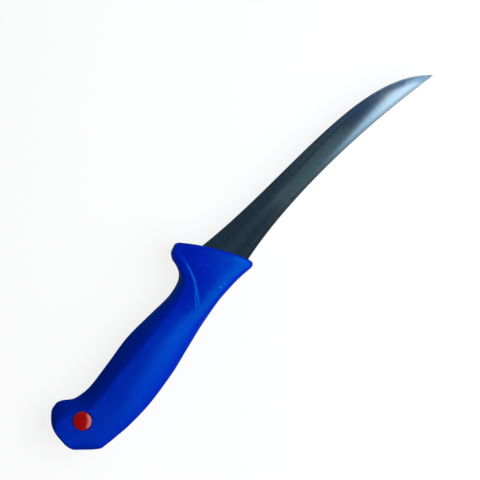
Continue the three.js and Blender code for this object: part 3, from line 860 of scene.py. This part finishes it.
upper_rows = [plain_row(section_at(FRONT_ROUND * depth), FRONT_ROUND * inset) for inset, depth in rounding]
upper_rows += [handle_points(row, around_kind, around_share) for row in rows]
for inset, depth in reversed(rounding):
    u = section_at(-BUTT_ROUND * depth) if depth > 0 else float(LAST_SECTION)
    upper_rows.append(plain_row(u, BUTT_ROUND * inset))
upper_rows = np.array(upper_rows)
row_half = upper_rows[:, :, 2].max(axis=1, keepdims=True)
upper_rows = sink_panel(upper_rows, row_half)

# The mould's two halves meet in a fine bead round the outline.
outward = upper_rows[:, 0, :2] - upper_rows[:, -1, :2]
outward = outward / np.linalg.norm(outward, axis=1, keepdims=True)
upper_rows[:, 0, :2] += PARTING_BEAD * outward
upper_rows[:, -1, :2] -= PARTING_BEAD * outward

lower_rows = upper_rows[:, -2:0:-1] * np.array([1, 1, -1])
skin_rows = np.concatenate([upper_rows, lower_rows], axis=1)
row_count, ring_count = skin_rows.shape[:2]
cover_faces = skin_faces(row_count, ring_count)
for first in (0, (row_count - 1) * ring_count):
    cover_faces.append((first, first + 1, first + ring_count - 1))
    for i in range(1, around_count - 2):
        cover_faces.append((first + i, first + i + 1, first + ring_count - i - 1, first + ring_count - i))
    cover_faces.append((first + around_count - 2, first + around_count - 1, first + around_count))
cover = new_piece("handle_moulding", skin_rows.reshape(-1, 3), cover_faces)


def turned_piece(name, profile, side, steps=96):
    """A profile of radius and height turned about the plug's axis, upright or upside down."""
    points = []
    rows = []
    for radius, z in profile:
        if radius == 0:
            rows.append([len(points)] * steps)
            points.append((PLUG_X, 0.0, side * z))
            continue
        rows.append(list(range(len(points), len(points) + steps)))
        for x, y in circle(PLUG_X, radius, steps):
            points.append((x, y, side * z))
    faces = []
    for low, high in zip(rows, rows[1:]):
        for i in range(steps):
            j = (i + 1) % steps
            corners = list(dict.fromkeys([low[i], low[j], high[j], high[i]]))
            if len(corners) > 2:
                faces.append(tuple(corners))
    return new_piece(name, points, faces)


# The cover is hollow round the core, with a slot that the blade fills and a seat on each side for the plug.
combine(cover, core_loft("core_space", COVER_WALL), "DIFFERENCE")
combine(cover, blade_skin("blade_slot", SLOT_GAP), "DIFFERENCE")
seat_profile = [
    (0, 0),
    (SHANK_HOLE, 0),
    (SHANK_HOLE, PLUG_HALF - SEAT_DEPTH),
    (SEAT_RADIUS, PLUG_HALF - SEAT_DEPTH),
    (SEAT_RADIUS, PLUG_HALF - 2 * SEAT_FLARE),
    (SEAT_RADIUS + SEAT_FLARE, PLUG_HALF),
    (SEAT_RADIUS + SEAT_FLARE, PLUG_HALF + SEAT_CLEAR),
    (0, PLUG_HALF + SEAT_CLEAR),
]
for side in (1, -1):
    combine(cover, turned_piece("plug_seat", seat_profile, side), "DIFFERENCE")

blue_plastic, tree, shader = new_material("blue_plastic")
surface = add_node(tree, "ShaderNodeTexCoord").outputs["Object"]
grain = placed_group(tree, grain_group, {"Vector": surface, "Grain": 3800.0, "Mottle": 70.0})
scratches = placed_group(tree, scratch_group, {"Vector": surface, "Scale": 55.0, "Amount": 0.2})["Mask"]
specks = placed_group(tree, speck_group, {"Vector": surface, "Scale": 160.0, "Size": 0.04})["Mask"]
smear = placed_group(tree, smear_group, {"Vector": surface, "Scale": 38.0})["Smear"]
nicks = marks_on(tree, surface, GUARD_NICKS)
toned = mixed(tree, grain["Tone"], BLUE, BLUE_DEEP)
rubbed = math_of(tree, "MAXIMUM", scratches, math_of(tree, "MULTIPLY", specks, 0.5))
rubbed = math_of(tree, "MAXIMUM", rubbed, nicks)
tree.links.new(mixed(tree, rubbed, toned, BLUE_RUBBED), shader.inputs["Base Color"])
# Fingers have polished the guard more than the butt.
along_handle = add_node(tree, "ShaderNodeSeparateXYZ", {0: surface}).outputs[0]
matt_x = heel_on_centreline[0] - MATT_BEHIND * MILLIMETRE
polished_x = heel_on_centreline[0] - POLISHED_BEFORE * MILLIMETRE
roughness = ranged(tree, along_handle, matt_x, polished_x, BUTT_ROUGHNESS, GUARD_ROUGHNESS)
roughness = math_of(tree, "ADD", roughness, ranged(tree, smear, 0.0, 1.0, -0.03, 0.03))
roughness = math_of(tree, "ADD", roughness, math_of(tree, "MULTIPLY", rubbed, 0.12))
tree.links.new(roughness, shader.inputs["Roughness"])
shader.inputs["Specular IOR Level"].default_value = BLUE_SPECULAR
shader.inputs["Specular Tint"].default_value = BLUE_SHEEN
relief = math_of(tree, "SUBTRACT", grain["Height"], math_of(tree, "MULTIPLY", scratches, 0.8))
bump = add_node(tree, "ShaderNodeBump", {"Height": relief, "Distance": 0.00004, "Strength": 0.25})
tree.links.new(bump.outputs[0], shader.inputs["Normal"])
finish_shape(cover, MOULD_CREASE)
cover.data.materials.append(blue_plastic)

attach(cover, "root")
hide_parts("handle_cover")

# Plug: two domed halves of glossy red plastic that snap into each other through the butt, and close the
# hole left by the pin that held the tang in the mould.
PLUG_RADIUS = 5.15
PLUG_RIM = 0.9
PLUG_DOME = 0.7
PLUG_PROUD = 0.3  # how far the rim stands above the handle
PLUG_CORNER = 0.45
CORNER_STEPS = 6
CORNER_STEP = 10  # degrees
DOME_STEPS = 24
DOME_FORM = 2.6  # above 2, the dome is flatter in its middle
PLUG_SHANK = 3.3
PLUG_SPIGOT = 4.5
PLUG_SPIGOT_RADIUS = 1.7
PLUG_GAP = 0.2
RED = (0.37, 0.0015, 0.0015, 1.0)
RED_DEEP = (0.32, 0.001, 0.001, 1.0)
RED_RUBBED = (0.62, 0.12, 0.11, 1.0)


def plug_head():
    """The head from its seat up to the top of its dome, flat in the middle and rounded at the rim."""
    seat = PLUG_HALF - PLUG_RIM
    rim = PLUG_HALF + PLUG_PROUD
    inner = PLUG_RADIUS - PLUG_CORNER
    profile = [(PLUG_SHANK, seat), (PLUG_RADIUS, seat), (PLUG_RADIUS, rim - PLUG_CORNER)]
    for i in range(1, CORNER_STEPS + 1):
        angle = math.radians(CORNER_STEP * i)
        profile.append((inner + PLUG_CORNER * math.cos(angle), rim - PLUG_CORNER * (1 - math.sin(angle))))
    start_radius, start_height = profile[-1]
    top = rim + PLUG_DOME
    for i in range(1, DOME_STEPS + 1):
        radius = start_radius * (1 - i / DOME_STEPS)
        profile.append((radius, top - (top - start_height) * (radius / start_radius) ** DOME_FORM))
    return profile


front_profile = [
    (0, -PLUG_SPIGOT),
    (PLUG_SPIGOT_RADIUS, -PLUG_SPIGOT),
    (PLUG_SPIGOT_RADIUS, PLUG_GAP / 2),
    (PLUG_SHANK, PLUG_GAP / 2),
    *plug_head(),
]
rear_profile = [
    (0, PLUG_SPIGOT + PLUG_GAP),
    (PLUG_SPIGOT_RADIUS + PLUG_GAP, PLUG_SPIGOT + PLUG_GAP),
    (PLUG_SPIGOT_RADIUS + PLUG_GAP, PLUG_GAP / 2),
    (PLUG_SHANK, PLUG_GAP / 2),
    *plug_head(),
]

red_plastic, tree, shader = new_material("red_plastic")
surface = add_node(tree, "ShaderNodeTexCoord").outputs["Object"]
grain = placed_group(tree, grain_group, {"Vector": surface, "Grain": 2500.0, "Mottle": 260.0})
scratches = placed_group(tree, scratch_group, {"Vector": surface, "Scale": 220.0, "Amount": 0.25})["Mask"]
smear = placed_group(tree, smear_group, {"Vector": surface, "Scale": 150.0})["Smear"]
toned = mixed(tree, grain["Tone"], RED, RED_DEEP)
tree.links.new(mixed(tree, scratches, toned, RED_RUBBED), shader.inputs["Base Color"])
tree.links.new(ranged(tree, smear, 0.0, 1.0, 0.12, 0.18), shader.inputs["Roughness"])
bump = add_node(tree, "ShaderNodeBump", {"Height": grain["Height"], "Distance": 0.00002, "Strength": 0.15})
tree.links.new(bump.outputs[0], shader.inputs["Normal"])

for node, profile, side in (("plug_front", front_profile, 1), ("plug_rear", rear_profile, -1)):
    plug = turned_piece("red_" + node, profile, side)
    finish_shape(plug, MOULD_CREASE)
    plug.data.materials.append(red_plastic)
    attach(plug, "root")
    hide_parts(node)

# Stage: a dim room and a white floor that keeps a faint shadow. A broad slanted softbox on the right lights
# the knife, and level panels overhead show in the blade. The camera looks straight down.
VIEW_TURN = math.radians(48.5)  # the knife's angle in the picture
MILLIMETRES_PER_PIXEL = 0.5433
PICTURE = 480
CAMERA_DISTANCE = 8.0
VIEW_CENTRE = (11.19, 1.05, 0.0)  # what the middle of the picture shows
SENSOR = 36.0

view_centre = heel_on_centreline + np.array(VIEW_CENTRE) * MILLIMETRE
picture_right = np.array([math.cos(VIEW_TURN), -math.sin(VIEW_TURN), 0.0])
picture_up = np.array([math.sin(VIEW_TURN), math.cos(VIEW_TURN), 0.0])
upward = np.array([0.0, 0.0, 1.0])

camera_data = bpy.data.cameras.new("camera")
camera_data.sensor_width = SENSOR
camera_data.lens = SENSOR * CAMERA_DISTANCE / (PICTURE * MILLIMETRES_PER_PIXEL * MILLIMETRE)
camera = bpy.data.objects.new("camera", camera_data)
camera.location = view_centre + CAMERA_DISTANCE * upward
camera.rotation_euler = (0.0, 0.0, -VIEW_TURN)
bpy.context.scene.collection.objects.link(camera)
bpy.context.scene.camera = camera

FLOOR_REACH = 3.0
FLOOR_BOUNCE = (0.2, 0.2, 0.2, 1.0)
FLOOR_PAPER = (0.95, 0.95, 0.95, 1.0)
FLOOR_WHITE = 0.85  # share of the floor's look that is plain white, and shows no shadow
floor_mesh = bpy.data.meshes.new("floor")
floor_corners = []
for x, y in ((-1, -1), (1, -1), (1, 1), (-1, 1)):
    floor_corners.append((x * FLOOR_REACH, y * FLOOR_REACH, 0.0))
floor_mesh.from_pydata(floor_corners, [], [(0, 1, 2, 3)])
floor = bpy.data.objects.new("floor", floor_mesh)
bpy.context.scene.collection.objects.link(floor)
floor_material = bpy.data.materials.new("floor")
floor_material.use_nodes = True
tree = floor_material.node_tree
tree.nodes.clear()
path = add_node(tree, "ShaderNodeLightPath").outputs
seen = math_of(tree, "MAXIMUM", path["Is Camera Ray"], path["Is Glossy Ray"])
seen = math_of(tree, "MAXIMUM", seen, path["Is Transmission Ray"])
bounce = add_node(tree, "ShaderNodeBsdfDiffuse", {"Color": FLOOR_BOUNCE}).outputs[0]
shown = add_node(tree, "ShaderNodeBsdfDiffuse", {"Color": FLOOR_PAPER}).outputs[0]
white = add_node(tree, "ShaderNodeEmission", {"Color": (1.0, 1.0, 1.0, 1.0), "Strength": 1.0}).outputs[0]
paper = add_node(tree, "ShaderNodeMixShader", {0: FLOOR_WHITE, 1: shown, 2: white}).outputs[0]
whole = add_node(tree, "ShaderNodeMixShader", {0: seen, 1: bounce, 2: paper}).outputs[0]
add_node(tree, "ShaderNodeOutputMaterial", {"Surface": whole})
floor_mesh.materials.append(floor_material)

ROOM_HORIZON = (0.31, 0.30, 0.36, 1.0)
ROOM_CEILING = (0.02, 0.04, 0.06, 1.0)
world = bpy.data.worlds.new("studio")
world.use_nodes = True
bpy.context.scene.world = world
tree = world.node_tree
tree.nodes.clear()
direction = add_node(tree, "ShaderNodeTexCoord").outputs["Generated"]
height = add_node(tree, "ShaderNodeSeparateXYZ", {0: direction}).outputs[2]
ceiling = ranged(tree, height, 0.1, 0.95)
air = mixed(tree, ceiling, ROOM_HORIZON, ROOM_CEILING)
background = add_node(tree, "ShaderNodeBackground", {"Color": air}).outputs[0]
add_node(tree, "ShaderNodeOutputWorld", {"Surface": background})


def softbox(name, place, facing, side, width, depth, power, colour):
    """A rectangular area lamp. Its place, the way it faces and its side are given to the picture's right,
    up and towards the camera."""

    def in_picture(parts):
        return parts[0] * picture_right + parts[1] * picture_up + parts[2] * upward

    z_axis = -in_picture(facing) / np.linalg.norm(facing)
    x_axis = in_picture(side)
    x_axis = x_axis - (x_axis @ z_axis) * z_axis
    x_axis = x_axis / np.linalg.norm(x_axis)
    data = bpy.data.lights.new(name, "AREA")
    data.shape = "RECTANGLE"
    data.size = width
    data.size_y = depth
    data.energy = power
    data.color = colour
    lamp = bpy.data.objects.new(name, data)
    turn = np.eye(4)
    turn[:3, 0] = x_axis
    turn[:3, 1] = np.cross(z_axis, x_axis)
    turn[:3, 2] = z_axis
    turn[:3, 3] = view_centre + in_picture(place)
    lamp.matrix_world = Matrix(turn.tolist())
    lamp.visible_camera = False
    bpy.context.scene.collection.objects.link(lamp)


KEY_PLACE = np.array([0.55, -0.11, 0.58])
KEY_WIDTH = 1.08
KEY_DEPTH = 0.9
KEY_POWER = 10.3
softbox("key", KEY_PLACE, -KEY_PLACE, (0.0, 1.0, 0.0), KEY_WIDTH, KEY_DEPTH, KEY_POWER, (1.0, 1.0, 1.0))


def overhead_panel(name, corner, side, width, length, radiance, colour):
    """A level softbox above the knife, from its corner, the direction of one side, its two sizes and how
    bright it looks."""
    side = np.array(side) / np.linalg.norm(side)
    other = np.array([-side[1], side[0], 0.0])
    middle = np.array(corner) + side * width / 2 + other * length / 2
    power = radiance * math.pi * width * length
    softbox(name, middle, (0.0, 0.0, -1.0), side, width, length, power, colour)


# Name, corner, direction of one side, the two sizes, brightness and colour. The far panel hangs a little
# higher than the first, which hides it where they overlap.
OVERHEAD_PANELS = (
    ("overhead", (0.0501, 0.0452, 0.35), (0.958, -0.286, 0.0), 0.3, 0.3, 0.98, (0.72, 1.0, 1.22)),
    ("overhead_far", (0.0625, 0.1185, 0.353), (0.315, -0.949, 0.0), 0.3, 0.3, 0.5, (1.1, 1.0, 0.86)),
    ("blue_strip", (0.0634, 0.0908, 0.35), (0.286, 0.958, 0.0), 0.25, 0.06, 0.09, (0.0, 0.2, 1.0)),
    ("reflector", (0.124, -0.061, 0.35), (0.64, 0.77, 0.0), 0.06, 0.17, 0.1, (0.72, 1.0, 0.94)),
)
for panel in OVERHEAD_PANELS:
    overhead_panel(*panel)

bpy.context.scene.view_settings.view_transform = "Standard"
